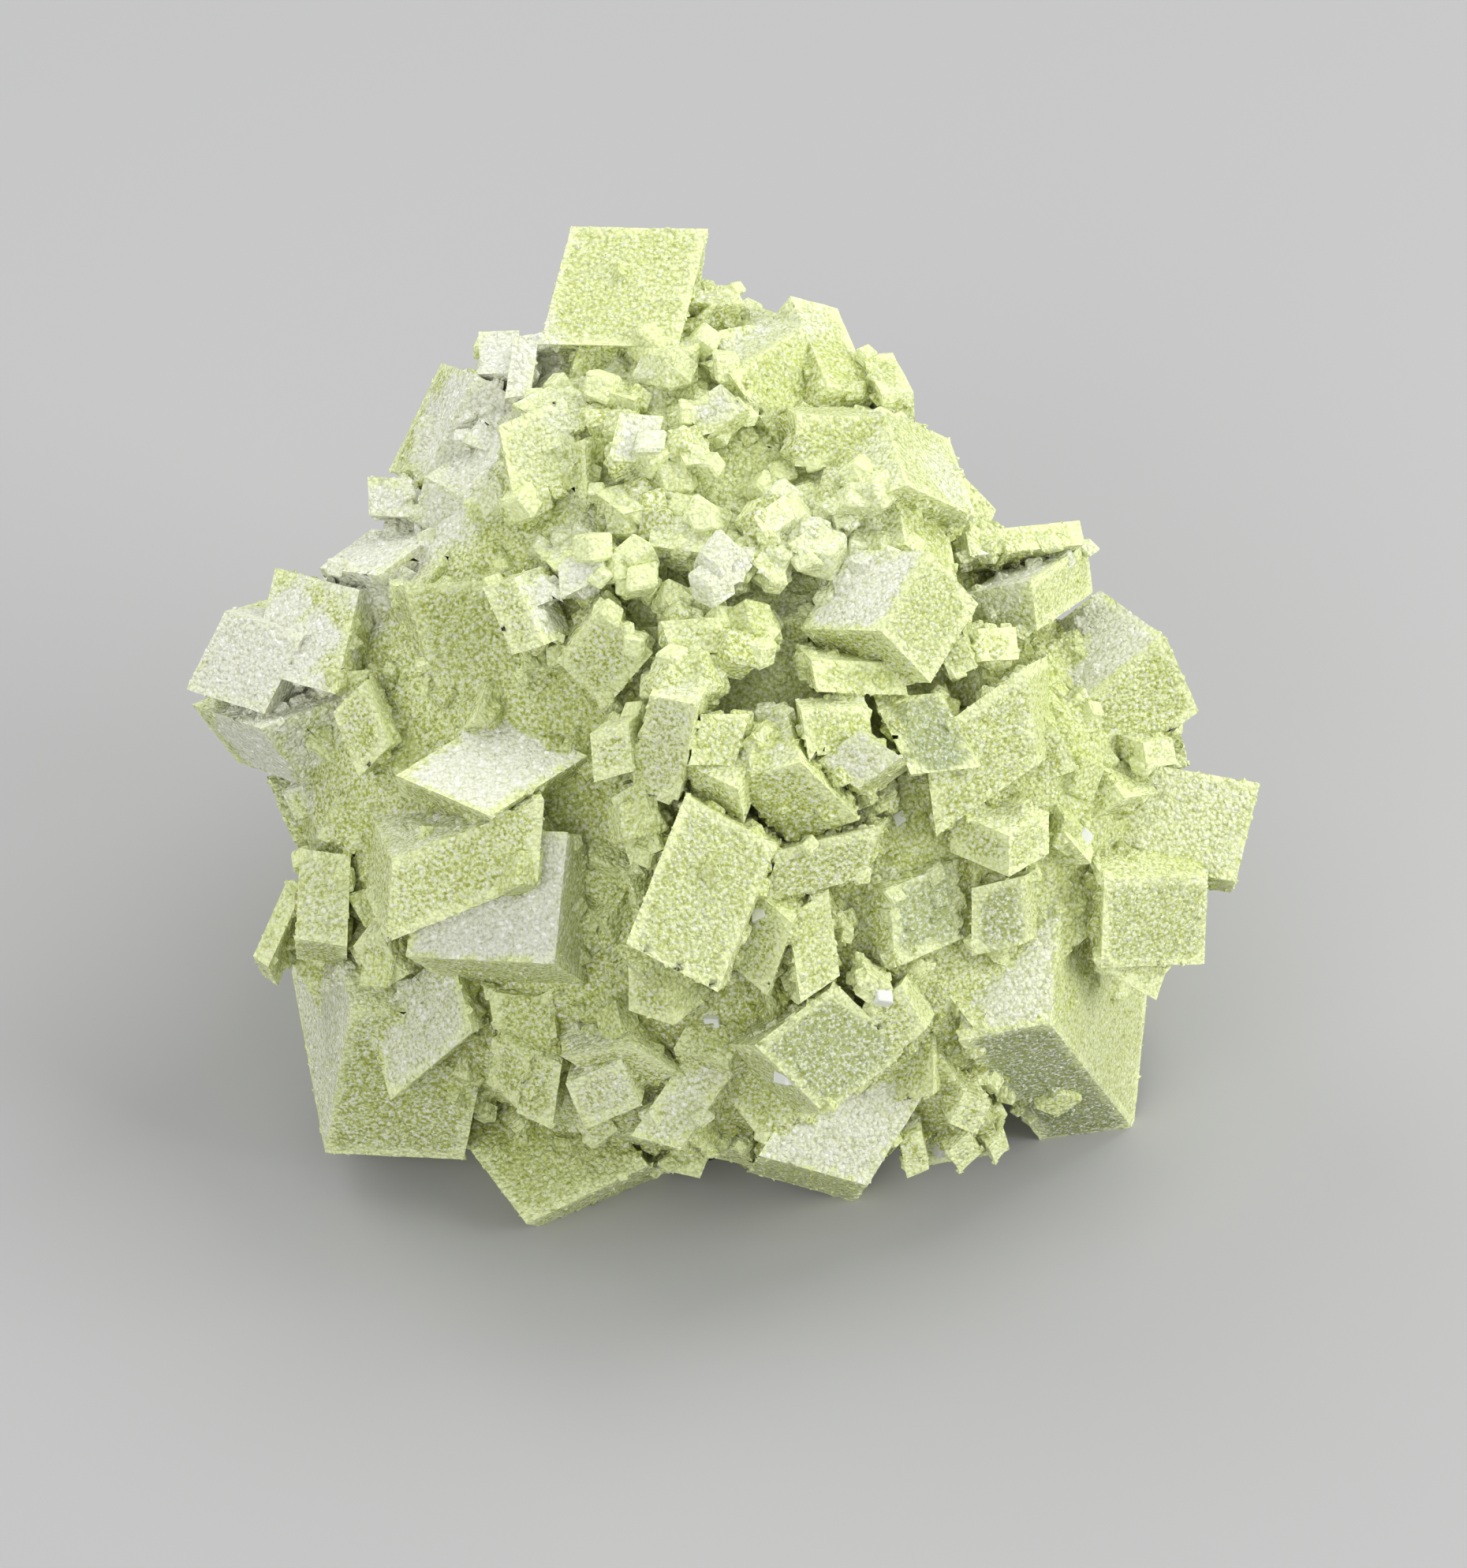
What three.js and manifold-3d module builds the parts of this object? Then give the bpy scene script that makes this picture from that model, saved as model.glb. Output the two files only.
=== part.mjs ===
// Duftite specimen: a palm-sized mass of rhombohedral crystals grown through one another and crusted
// with fine green duftite. Millimetres, +Z up, the origin in the middle of the flat base.
import * as THREE from "three";
import { mergeVertices } from "three/addons/utils/BufferGeometryUtils.js";
import Module from "manifold-3d";

const wasm = await Module();
wasm.setup();

// Driving dimensions
const SPECIMEN_WIDTH = 50; // left tip to right tip
const AIM = new THREE.Vector3(0.44, -2.54, 16); // the point that the reference view aims at
const SWELL_DEPTH = 13; // how far the middle of the front bulges towards the viewer
const SWELL_HALF_WIDTH = 26;
const SWELL_HALF_HEIGHT = 24.5;
const CORE = { halfWidth: 19.5, halfHeight: 19.5, front: 10, back: 15 }; // the mass below the crystals
const CORE_NARROWING = 5; // of its half width, towards the top
const CORE_SPREAD = 2; // of its half width, towards the bottom
const CORE_LEAN = 2.5; // of its top, to the left
const FOOT = { halfWidth: 13.5, halfDepth: 9, height: 14, back: 1, sides: 12 }; // under the mass
const BURIAL = 30; // thickness of the block that cuts the base flat
// Crystals that the picture doesn't single out: sizes are edge lengths, sunk and rim are shares of them.
const FRONT_CRYSTALS = { count: 96, smallest: 2, largest: 3.2, sunk: 0.35, rim: 0.8, lowest: 0.1 };
const BACK_CRYSTALS = { count: 76, smallest: 4.5, largest: 9, sunk: 0.2, rim: 0.42, lowest: 0 };
const FOOT_CRYSTALS = { rows: [1, 8], perRow: 15, smallest: 4.5, largest: 7.5 };

// A cleavage rhomb of calcite: each face has two blunt and two sharp corners.
const BLUNT = THREE.MathUtils.degToRad(101.9);
const SHARP = Math.PI - BLUNT;

// The reference view, in pixels of the 1860 by 1988 picture that the crystals are read from.
const VIEW = {
  elevation: THREE.MathUtils.degToRad(43),
  distance: 290, // eye to aim point
  middle: [930, 994],
  leftTip: 232,
  rightTip: 1598,
  swellMiddle: [915, 930],
};
const PIXELS_PER_MM = (VIEW.rightTip - VIEW.leftTip) / SPECIMEN_WIDTH;

// Each crystal: the pixel of its nearest corner, the pixels where the edges that leave this corner end,
// and how far the corner stands proud of the swell, in mm. The first two edges bound a face that is seen.
// Where the third edge is hidden, the face alone is given. A face leans as the swell does, or as stated.
const CRYSTALS = {
  summit: { corner: [685, 436], ends: [[724, 287], [860, 440], [682, 493]], proud: 0.5 },
  summitBack: { corner: [943, 385], ends: [[933, 362], [872, 384]], proud: -0.5 },
  crestSlab: { corner: [1025, 410], ends: [[925, 474], [1088, 501], [945, 384]], proud: 0 },
  crestBack: { corner: [1062, 391], ends: [[1002, 375], [1110, 505]], proud: -1.5 },
  shoulder: { corner: [1118, 500], ends: [[1158, 497], [1092, 450], [1124, 600]], proud: 0 },
  darkLedge: { corner: [1122, 529], ends: [[1010, 526], [1120, 594], [1100, 515]], proud: 0.8 },
  whiteFlank: { corner: [1238, 656], ends: [[1204, 557], [1149, 615]], proud: -0.5 },
  greenBlade: { corner: [1139, 638], ends: [[1120, 599], [1100, 628], [1105, 667]], proud: 0.5 },
  flankBlock: { corner: [1215, 742], ends: [[1198, 652], [1148, 690]], proud: -0.8 },
  roofBlock: { corner: [718, 553], ends: [[650, 512], [780, 522], [715, 582]], proud: 0.3 },
  roofPlate: { corner: [826, 588], ends: [[841, 528], [771, 583], [826, 606]], proud: 0 },
  roofRight: { corner: [897, 553], ends: [[948, 517], [863, 522], [903, 568]], proud: 0 },
  roofSmall: { corner: [906, 586], ends: [[886, 541], [869, 590]], proud: 0 },
  roofPale: { corner: [790, 652], ends: [[752, 622], [862, 634], [792, 690]], proud: 0.2 },
  paleSlab: { corner: [603, 474], ends: [[535, 612], [655, 505], [560, 460]], proud: 0 },
  paleStep: { corner: [661, 473], ends: [[658, 419], [609, 474]], proud: -0.5 },
  paleStepBack: { corner: [673, 500], ends: [[684, 422], [640, 505]], proud: -0.3 },
  paleLedge: { corner: [524, 656], ends: [[522, 607], [468, 653]], proud: -1.8 },
  leftSlope: { corner: [480, 730], ends: [[548, 680], [404, 720]], proud: -0.5 },
  lipSlab: { corner: [655, 650], ends: [[740, 612], [632, 540], [657, 675]], proud: 0 },
  leftBlock: { corner: [512, 742], ends: [[563, 903], [672, 733], [457, 745]], proud: 1.4 },
  leftBlockLump: { corner: [650, 830], ends: [[690, 818], [612, 745]], proud: 0.6 },
  wingFront: { corner: [331, 924], ends: [[434, 884], [243, 893], [389, 998]], proud: 1 },
  wingTop: { corner: [425, 880], ends: [[456, 748], [318, 850]], proud: 0.2 },
  wingLeft: { corner: [335, 905], ends: [[236, 874], [385, 805]], proud: 0.4 },
  wingUnder: { corner: [495, 945], ends: [[462, 863], [455, 985], [512, 938]], proud: 0.5 },
  stripBlock: { corner: [765, 768], ends: [[705, 838], [828, 828], [757, 743]], proud: 0.6 },
  whiteSlab: { corner: [712, 758], ends: [[766, 732], [706, 715]], proud: 0.2 },
  smallSlab: { corner: [682, 768], ends: [[710, 757], [660, 738]], proud: 0.2 },
  whiteCap: { corner: [942, 738], ends: [[957, 694], [893, 735], [935, 752]], proud: 0.3 },
  greenPlate: { corner: [958, 652], ends: [[985, 602], [912, 634]], proud: 0.4 },
  paleCube: { corner: [972, 682], ends: [[1010, 655], [955, 655], [972, 696]], proud: 0.8 },
  upperPlate: { corner: [898, 702], ends: [[906, 648], [822, 692]], proud: 0.3 },
  palePlate: { corner: [852, 832], ends: [[926, 826], [838, 788]], proud: 0.2 },
  lowPlate: { corner: [902, 882], ends: [[907, 834], [842, 884]], proud: 0.3 },
  lumpStep: { corner: [960, 836], ends: [[990, 800], [925, 800]], proud: 0.3 },
  middleSlab: { corner: [857, 782], ends: [[920, 780], [842, 757]], proud: 0 },
  darkChip: { corner: [825, 748], ends: [[817, 704], [790, 750]], proud: 0 },
  smallRhomb: { corner: [972, 680], ends: [[957, 654], [1012, 651]], proud: 0.2 },
  frostedTop: { corner: [1062, 668], ends: [[1105, 655], [1045, 625]], proud: 0 },
  frostedMiddle: { corner: [1030, 720], ends: [[1070, 690], [1000, 690]], proud: -0.2 },
  frostedLeft: { corner: [985, 745], ends: [[1005, 705], [955, 715]], proud: -0.2 },
  middleRight: { corner: [1117, 800], ends: [[1178, 699], [1015, 797], [1180, 866]], proud: 2 },
  darkPrism: { corner: [1238, 846], ends: [[1205, 766], [1205, 862], [1246, 838]], proud: 0.6 },
  rightUpper: { corner: [1307, 736], ends: [[1228, 752], [1315, 800], [1378, 688]], proud: 0.4 },
  backSlab: { corner: [1375, 690], ends: [[1230, 705], [1369, 660]], proud: -1 },
  whiteCube: { corner: [1292, 836], ends: [[1288, 795], [1244, 838]], proud: 0.5 },
  rightWedge: { corner: [1478, 808], ends: [[1345, 910], [1520, 902], [1395, 748]], proud: 0.8 },
  rightBit: { corner: [1492, 968], ends: [[1486, 935], [1455, 975]], proud: -1 },
  greyBlock: { corner: [1316, 968], ends: [[1300, 845], [1187, 1060], [1365, 940]], proud: 0.6 },
  foreBlock: { corner: [1240, 973], ends: [[1193, 878], [1155, 982], [1252, 965]], proud: 1.5 },
  darkSlab: { corner: [1028, 836], ends: [[1143, 841], [1036, 877], [1003, 812]], proud: 0.8 },
  darkBlock: { corner: [1100, 894], ends: [[1016, 901], [1109, 952], [1092, 880]], proud: 1 },
  frostStep: { corner: [1088, 1000], ends: [[1036, 965], [1143, 960], [1098, 1014]], proud: 1.2 },
  tongue: { corner: [860, 1015], ends: [[884, 894], [800, 1002]], proud: 0.6 },
  yellowBlock: { corner: [932, 970], ends: [[950, 905], [873, 970], [935, 985]], proud: 0.8 },
  oliveBlock: { corner: [986, 990], ends: [[1010, 935], [944, 975]], proud: 0.8 },
  centreFace: { corner: [1090, 1040], ends: [[1015, 966], [1000, 1066]], proud: 0.8 },
  lowStep: { corner: [944, 1040], ends: [[935, 1000], [880, 1010]], proud: 0.9 },
  yellowSide: { corner: [753, 992], ends: [[748, 930], [802, 978]], proud: 0.5 },
  leftStep: { corner: [800, 1100], ends: [[775, 1012], [838, 1076]], proud: 0.5 },
  oliveSide: { corner: [745, 1100], ends: [[720, 1030], [785, 1093]], proud: 0.3 },
  centrePlate: { corner: [984, 1072], ends: [[868, 1010], [910, 1258], [1000, 1058]], proud: 1.8 },
  middleTooth: { corner: [972, 1262], ends: [[925, 1222], [1004, 1170]], proud: 1.5 },
  rightTooth: { corner: [988, 1078], ends: [[1117, 1047], [965, 1145], [1002, 1062]], proud: 1.5 },
  lowTooth: { corner: [1015, 1272], ends: [[1065, 1237], [1000, 1162], [1003, 1266]], proud: 1.6 },
  leftTooth: { corner: [854, 1300], ends: [[853, 1205], [797, 1281], [905, 1260]], proud: 1.3 },
  sparkleTop: { corner: [622, 1035], ends: [[502, 983], [745, 958], [625, 1060]], proud: 2 },
  leftFront: { corner: [498, 1092], ends: [[690, 1014], [490, 1195], [450, 985]], proud: 3 },
  greatLeft: { corner: [703, 1222], ends: [[515, 1213], [720, 1055], [797, 1280]], proud: 1.6 },
  leftLump: { corner: [440, 1200], ends: [[445, 1085], [375, 1190], [440, 1226]], proud: 0.3 },
  roundLump: { corner: [476, 1256], ends: [[447, 1200], [512, 1240]], proud: 0.6 },
  leftEdge: { corner: [340, 1226], ends: [[383, 1130], [321, 1212], [352, 1250]], proud: 0 },
  tiltedBlock: { corner: [599, 1308], ends: [[570, 1200], [495, 1395], [648, 1278]], proud: 1 },
  leftFoot: { corner: [412, 1462], ends: [[445, 1280], [588, 1470], [370, 1232]], proud: 0 },
  bottomTip: { corner: [668, 1552], ends: [[535, 1378], [822, 1478]], proud: 0.5, leans: [-0.1, 0.6] },
  lumpLeft: { corner: [655, 1405], ends: [[672, 1345], [618, 1368]], proud: 0.5 },
  lumpRight: { corner: [700, 1432], ends: [[712, 1350], [655, 1410]], proud: 0.4 },
  ridgeBlock: { corner: [798, 1322], ends: [[893, 1378], [712, 1340], [796, 1285]], proud: 1 },
  lowBlock: { corner: [742, 1432], ends: [[717, 1374], [812, 1402]], proud: 0.7 },
  spearBlock: { corner: [862, 1457], ends: [[962, 1312], [800, 1440], [884, 1462]], proud: 0.8 },
  darkFace: { corner: [1060, 1247], ends: [[957, 1325], [1148, 1335]], proud: 0.3 },
  brightFoot: { corner: [1100, 1503], ends: [[1181, 1372], [962, 1465], [1083, 1523]], proud: 1 },
  rightGreat: { corner: [1330, 1297], ends: [[1350, 1105], [1215, 1320], [1437, 1432]], proud: 1.2 },
  rightBlock: { corner: [1567, 1118], ends: [[1390, 1088], [1597, 993], [1560, 1132]], proud: 0.6 },
  rightLow: { corner: [1396, 1227], ends: [[1400, 1115], [1527, 1222], [1365, 1175]], proud: 0 },
  rightLowBit: { corner: [1466, 1268], ends: [[1402, 1232], [1480, 1226]], proud: -0.3 },
  wedge: { corner: [1279, 1112], ends: [[1279, 1060], [1205, 1080], [1330, 1082]], proud: 1 },
  greyMiddle: { corner: [1300, 1196], ends: [[1300, 1110], [1232, 1212], [1322, 1180]], proud: 0.4 },
  smallBlade: { corner: [1173, 1306], ends: [[1142, 1248], [1185, 1286], [1130, 1342]], proud: 0.8 },
  pearl: { corner: [1118, 1283], ends: [[1085, 1262], [1133, 1255]], proud: 0.5 },
  underRight: { corner: [1282, 1460], ends: [[1200, 1350], [1172, 1478]], proud: -0.9 },
  underSmall: { corner: [1238, 1438], ends: [[1256, 1400], [1204, 1424]], proud: 0 },
  hangingLeft: { corner: [1150, 1494], ends: [[1178, 1482], [1140, 1445]], proud: -0.3 },
  hangingMiddle: { corner: [1218, 1487], ends: [[1246, 1460], [1200, 1462]], proud: -0.5 },
  hangingRight: { corner: [1262, 1475], ends: [[1280, 1452], [1254, 1454]], proud: -0.5 },
};

// The view's own axes: u to the right, v up the picture, w towards the viewer.
const EYE = new THREE.Vector3(0, 0, VIEW.distance);
const VIEW_TO_OBJECT = new THREE.Matrix4()
  .makeTranslation(AIM.x, AIM.y, AIM.z)
  .multiply(new THREE.Matrix4().makeRotationX(Math.PI / 2 - VIEW.elevation));

function onPicturePlane([column, row]) {
  const u = (column - VIEW.middle[0]) / PIXELS_PER_MM;
  const v = (VIEW.middle[1] - row) / PIXELS_PER_MM;
  return new THREE.Vector3(u, v, 0);
}

const SWELL_MIDDLE = onPicturePlane(VIEW.swellMiddle);

function swell({ x, y }) {
  const across = (x - SWELL_MIDDLE.x) / SWELL_HALF_WIDTH;
  const along = (y - SWELL_MIDDLE.y) / SWELL_HALF_HEIGHT;
  return SWELL_DEPTH * (1 - across ** 2 - along ** 2);
}

function swellNormal({ x, y }) {
  const across = (2 * SWELL_DEPTH * (x - SWELL_MIDDLE.x)) / SWELL_HALF_WIDTH ** 2;
  const along = (2 * SWELL_DEPTH * (y - SWELL_MIDDLE.y)) / SWELL_HALF_HEIGHT ** 2;
  return new THREE.Vector3(across, along, 1).normalize();
}

// The point of a pixel's line of sight that lies at height w towards the viewer.
function seenPoint(pixel, w) {
  return onPicturePlane(pixel).lerp(EYE, w / VIEW.distance);
}

// How far three edges are from those of a cleavage rhomb whose first face is seen.
const LENGTH_WEIGHT = 0.03;
const FACING_WEIGHT = 0.12;
const HIDDEN_FACE_COST = 10;
const CORNER_KINDS = [
  [BLUNT, BLUNT, BLUNT],
  [BLUNT, SHARP, SHARP],
  [SHARP, BLUNT, SHARP],
  [SHARP, SHARP, BLUNT],
];
const EDGE_PAIRS = [[0, 1], [0, 2], [1, 2]];

function rhombMisfit(edges, kind, sight, outward) {
  const lengths = edges.map((edge) => edge.length());
  let cost = 0;
  EDGE_PAIRS.forEach(([first, second], pair) => {
    if (second < edges.length) {
      const cosine = edges[first].dot(edges[second]) / (lengths[first] * lengths[second]);
      cost += (cosine - Math.cos(kind[pair])) ** 2;
    }
  });
  const logs = lengths.map(Math.log);
  const mean = logs.reduce((sum, value) => sum + value) / logs.length;
  logs.forEach((value) => {
    cost += LENGTH_WEIGHT * (value - mean) ** 2;
  });
  const normal = new THREE.Vector3().crossVectors(edges[0], edges[1]).normalize();
  if (edges.length === 3) {
    normal.multiplyScalar(-Math.sign(normal.dot(edges[2])));
    cost += normal.dot(sight) > 0 ? HIDDEN_FACE_COST : 0;
  } else {
    normal.multiplyScalar(-Math.sign(normal.dot(sight)));
  }
  return cost + FACING_WEIGHT * (1 - normal.dot(outward));
}

// The depths at which the edge ends lie on their lines of sight, found by a search that halves its step.
const TILTS = [-65, -45, -25, -8, 8, 25, 45, 65].map((tilt) => Math.tan(THREE.MathUtils.degToRad(tilt)));
const FIRST_STEP = 0.4; // share of an edge's seen length
const LAST_STEP = 0.002;

function settleEdges(corner, ends, outward) {
  const sight = corner.clone().sub(EYE).normalize();
  const flat = ends.map((pixel) => seenPoint(pixel, corner.z).sub(corner));
  const rays = ends.map((pixel) => onPicturePlane(pixel).sub(EYE).normalize());
  const edgesAt = (depths) =>
    flat.map((edge, i) => edge.clone().addScaledVector(rays[i], depths[i] * edge.length()));
  const starts = ends.reduce((lists) => lists.flatMap((list) => TILTS.map((tilt) => [...list, tilt])), [[]]);
  let best = { cost: Infinity };
  for (const kind of CORNER_KINDS) {
    for (const depths of starts) {
      const cost = rhombMisfit(edgesAt(depths), kind, sight, outward);
      if (cost < best.cost) {
        best = { cost, kind, depths };
      }
    }
  }
  for (let step = FIRST_STEP; step > LAST_STEP; ) {
    const before = best.cost;
    for (let i = 0; i < ends.length; i += 1) {
      for (const change of [step, -step]) {
        const depths = best.depths.slice();
        depths[i] += change;
        const cost = rhombMisfit(edgesAt(depths), best.kind, sight, outward);
        if (cost < best.cost) {
          best = { ...best, cost, depths };
        }
      }
    }
    step = best.cost < before ? step : step / 2;
  }
  const edges = edgesAt(best.depths);
  return edges.length === 3 ? edges : [...edges, hiddenEdge(edges, sight)];
}

// The edge behind a face of which only the front is seen: it leans away as a cleavage edge does.
const LEAST_SQUARED_FALL = 0.2; // keeps the edge from lying in its face

function hiddenEdge([first, second], sight) {
  const a = first.clone().normalize();
  const b = second.clone().normalize();
  const into = new THREE.Vector3().crossVectors(a, b).normalize();
  into.multiplyScalar(Math.sign(into.dot(sight)));
  const between = a.dot(b);
  const lean = (Math.cos(SHARP) * (1 - between)) / (1 - between ** 2);
  const rest = Math.sqrt(Math.max(LEAST_SQUARED_FALL, 1 - 2 * lean ** 2 * (1 + between)));
  const edge = a.multiplyScalar(lean).addScaledVector(b, lean).addScaledVector(into, rest);
  return edge.multiplyScalar((first.length() + second.length()) / 2);
}

const WELD = 1e-5; // corners closer than this are one

function solidOf(geometry) {
  const bare = geometry.clone();
  bare.deleteAttribute("normal");
  bare.deleteAttribute("uv");
  const merged = mergeVertices(bare, WELD);
  return new wasm.Manifold(
    new wasm.Mesh({
      numProp: 3,
      vertProperties: new Float32Array(merged.attributes.position.array),
      triVerts: new Uint32Array(merged.index.array),
    })
  );
}

// A rhomb from one corner and the three edges that leave it.
function rhomb(corner, edges) {
  const [a, b, c] = edges;
  const rightHanded = new THREE.Vector3().crossVectors(a, b).dot(c) > 0;
  const basis = rightHanded ? [a, b, c] : [b, a, c];
  const matrix = new THREE.Matrix4().makeBasis(...basis).setPosition(corner);
  return new THREE.BoxGeometry(1, 1, 1).translate(0.5, 0.5, 0.5).applyMatrix4(matrix);
}

function readCrystal({ corner, ends, proud, leans }) {
  const start = seenPoint(corner, swell(onPicturePlane(corner)) + proud);
  const outward = leans ? new THREE.Vector3(...leans, 1).normalize() : swellNormal(start);
  return rhomb(start, settleEdges(start, ends, outward));
}

// The mass below the crystals: flatter in front than behind, narrower and leaning left at the top.
const TOP_TAPER = 1.7; // how soon the top narrows
const CORE_DETAIL = 4; // how often each face of the first icosahedron is split

function massPoint(direction) {
  const rise = THREE.MathUtils.clamp(TOP_TAPER * direction.y, 0, 1);
  const spread = CORE_SPREAD * Math.max(0, -direction.y);
  const halfWidth = CORE.halfWidth - CORE_NARROWING * rise + spread;
  const depth = direction.z > 0 ? CORE.front : CORE.back;
  return new THREE.Vector3(
    SWELL_MIDDLE.x - CORE_LEAN * rise + direction.x * halfWidth,
    SWELL_MIDDLE.y + direction.y * CORE.halfHeight,
    direction.z * depth
  );
}

function coreGeometry() {
  const core = new THREE.IcosahedronGeometry(1, CORE_DETAIL);
  const place = core.attributes.position;
  const direction = new THREE.Vector3();
  for (let i = 0; i < place.count; i += 1) {
    const point = massPoint(direction.fromBufferAttribute(place, i));
    place.setXYZ(i, point.x, point.y, point.z);
  }
  return core;
}

// A foot under the mass, which the base is cut from.
function footPoint(angle, height) {
  const x = FOOT.halfWidth * Math.cos(angle);
  const y = FOOT.back + FOOT.halfDepth * Math.sin(angle);
  return new THREE.Vector3(x, y, height);
}

function footGeometry() {
  return new THREE.CylinderGeometry(1, 1, 2 * FOOT.height, FOOT.sides)
    .rotateX(Math.PI / 2)
    .scale(FOOT.halfWidth, FOOT.halfDepth, 1)
    .translate(0, FOOT.back, 0);
}

// Numbers from 0 to 1 that look scattered and are the same each time.
const SCATTER = { row: 12.9898, column: 78.233, spread: 43758.5453 };

function scatter(index, column) {
  const wave = Math.sin(index * SCATTER.row + column * SCATTER.column) * SCATTER.spread;
  return wave - Math.floor(wave);
}

function cleavageEdges(size) {
  const fall = Math.acos(Math.sqrt((1 + 2 * Math.cos(BLUNT)) / 3));
  const turns = [0, 1, 2].map((third) => (third * 2 * Math.PI) / 3);
  return turns.map((turn) => new THREE.Vector3().setFromSphericalCoords(size, fall, turn));
}

const EDGE_SHARES = [0.75, 1.25]; // the shortest and the longest edge of a crystal, of its size

// A crystal that the picture doesn't single out, centred on its seat, with its own turn and proportions.
function scatteredCrystal(index, seat, size) {
  const [roll, pitch, yaw] = [1, 2, 3].map((column) => 2 * Math.PI * scatter(index, column));
  const turn = new THREE.Euler(roll, pitch, yaw);
  const edges = cleavageEdges(size).map((edge) => edge.applyEuler(turn));
  edges.forEach((edge, i) => {
    edge.multiplyScalar(THREE.MathUtils.lerp(...EDGE_SHARES, scatter(index, 4 + i)));
  });
  const half = edges[0].clone().add(edges[1]).add(edges[2]).multiplyScalar(0.5);
  return rhomb(seat.clone().sub(half), edges);
}

function scatteredSize(index, { smallest, largest }) {
  return THREE.MathUtils.lerp(smallest, largest, scatter(index, 7));
}

// Crystals over one side of the mass, on a spiral from its pole to its rim and smaller at the rim.
const GOLDEN_TURN = Math.PI * (3 - Math.sqrt(5));
const POLE = 0.98; // height of the first crystal, where the pole is 1 and the rim is 0

function crystalsOnMass(settings, side) {
  return Array.from({ length: settings.count }, (_, step) => {
    const index = side * (step + 1);
    const height = side * THREE.MathUtils.lerp(POLE, settings.lowest, (step + 0.5) / settings.count);
    const radius = Math.sqrt(1 - height ** 2);
    const angle = step * GOLDEN_TURN;
    const direction = new THREE.Vector3(radius * Math.cos(angle), radius * Math.sin(angle), height);
    const size = scatteredSize(index, settings) * THREE.MathUtils.lerp(settings.rim, 1, Math.abs(height));
    const seat = massPoint(direction).addScaledVector(direction, -size * settings.sunk);
    return scatteredCrystal(index, seat, size);
  });
}

// Crystals around the foot, in rows that stand half a step apart.
const FOOT_SERIES = 1000;

function crystalsOnFoot({ rows, perRow, ...sizes }) {
  return rows.flatMap((height, row) =>
    Array.from({ length: perRow }, (_, step) => {
      const index = FOOT_SERIES + row * perRow + step;
      const angle = ((step + row / 2) / perRow) * 2 * Math.PI;
      return scatteredCrystal(index, footPoint(angle, height), scatteredSize(index, sizes));
    })
  );
}

function clusterGeometry() {
  const onMass = [
    coreGeometry(),
    ...Object.values(CRYSTALS).map(readCrystal),
    ...crystalsOnMass(FRONT_CRYSTALS, 1),
    ...crystalsOnMass(BACK_CRYSTALS, -1),
  ].map((geometry) => geometry.applyMatrix4(VIEW_TO_OBJECT));
  const onFoot = [footGeometry(), ...crystalsOnFoot(FOOT_CRYSTALS)];
  const breadth = 2 * SPECIMEN_WIDTH; // wider than all that it cuts
  const below = new THREE.BoxGeometry(breadth, breadth, BURIAL).translate(0, 0, -BURIAL / 2);
  const whole = [...onFoot, ...onMass]
    .map(solidOf)
    .reduce((mass, piece) => mass.add(piece))
    .subtract(solidOf(below));
  const [largest] = whole.decompose().sort((one, other) => other.volume() - one.volume());
  const mesh = largest.getMesh();
  const geometry = new THREE.BufferGeometry();
  geometry.setAttribute("position", new THREE.BufferAttribute(new Float32Array(mesh.vertProperties), 3));
  geometry.setIndex(new THREE.BufferAttribute(new Uint32Array(mesh.triVerts), 1));
  geometry.computeVertexNormals();
  return geometry;
}

const duftiteGreen = new THREE.MeshStandardMaterial({ color: 0xb9bd7a, roughness: 0.55, metalness: 0 });
duftiteGreen.flatShading = true;
const cluster = new THREE.Mesh(clusterGeometry(), duftiteGreen);
cluster.name = "crystal_cluster";

const group = new THREE.Group();
group.add(cluster);

export default group;
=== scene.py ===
"""Looks of a duftite specimen: rhombohedral crystals crusted with fine yellow-green duftite."""

import math
from typing import NamedTuple

import bpy
import numpy as np
from mathutils import Euler, Matrix, Vector, noise
from mathutils.bvhtree import BVHTree


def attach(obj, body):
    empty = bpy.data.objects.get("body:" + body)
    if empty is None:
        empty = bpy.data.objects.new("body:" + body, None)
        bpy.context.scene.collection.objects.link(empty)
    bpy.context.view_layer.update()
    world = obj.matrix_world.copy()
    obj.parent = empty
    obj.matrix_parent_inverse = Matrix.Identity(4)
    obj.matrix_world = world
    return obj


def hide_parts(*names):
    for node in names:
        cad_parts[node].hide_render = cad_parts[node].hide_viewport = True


bl_info = {
    "name": "Duftite specimen",
    "version": (1, 0, 0),
    "blender": (4, 5, 0),
    "location": "3D View > Sidebar > Duftite",
    "description": "Dresses a crystal cluster with a sugary duftite crust, small crystals and a studio",
    "category": "Object",
}

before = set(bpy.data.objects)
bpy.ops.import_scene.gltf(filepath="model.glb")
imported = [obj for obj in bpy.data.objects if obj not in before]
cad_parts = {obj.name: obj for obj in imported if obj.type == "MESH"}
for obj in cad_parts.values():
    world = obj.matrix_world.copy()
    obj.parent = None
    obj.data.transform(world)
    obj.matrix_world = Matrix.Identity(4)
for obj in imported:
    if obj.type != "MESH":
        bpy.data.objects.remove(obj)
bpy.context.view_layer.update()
CLUSTER = "crystal_cluster"
MM = 0.001
BASE_BAND = 0.2 * MM  # what lies this low is the flat base
GRAIN_FLOOR = 0.5 * MM  # no grain is set lower than this
CRUMB_FLOOR = 1.1 * MM  # no crumb is set lower than this
CORE_FACE = 0.9 * MM**2  # flat faces smaller than this are the core between the crystals
CORE_FALL = 3.0  # how soon a face smaller than that counts as core
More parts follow.
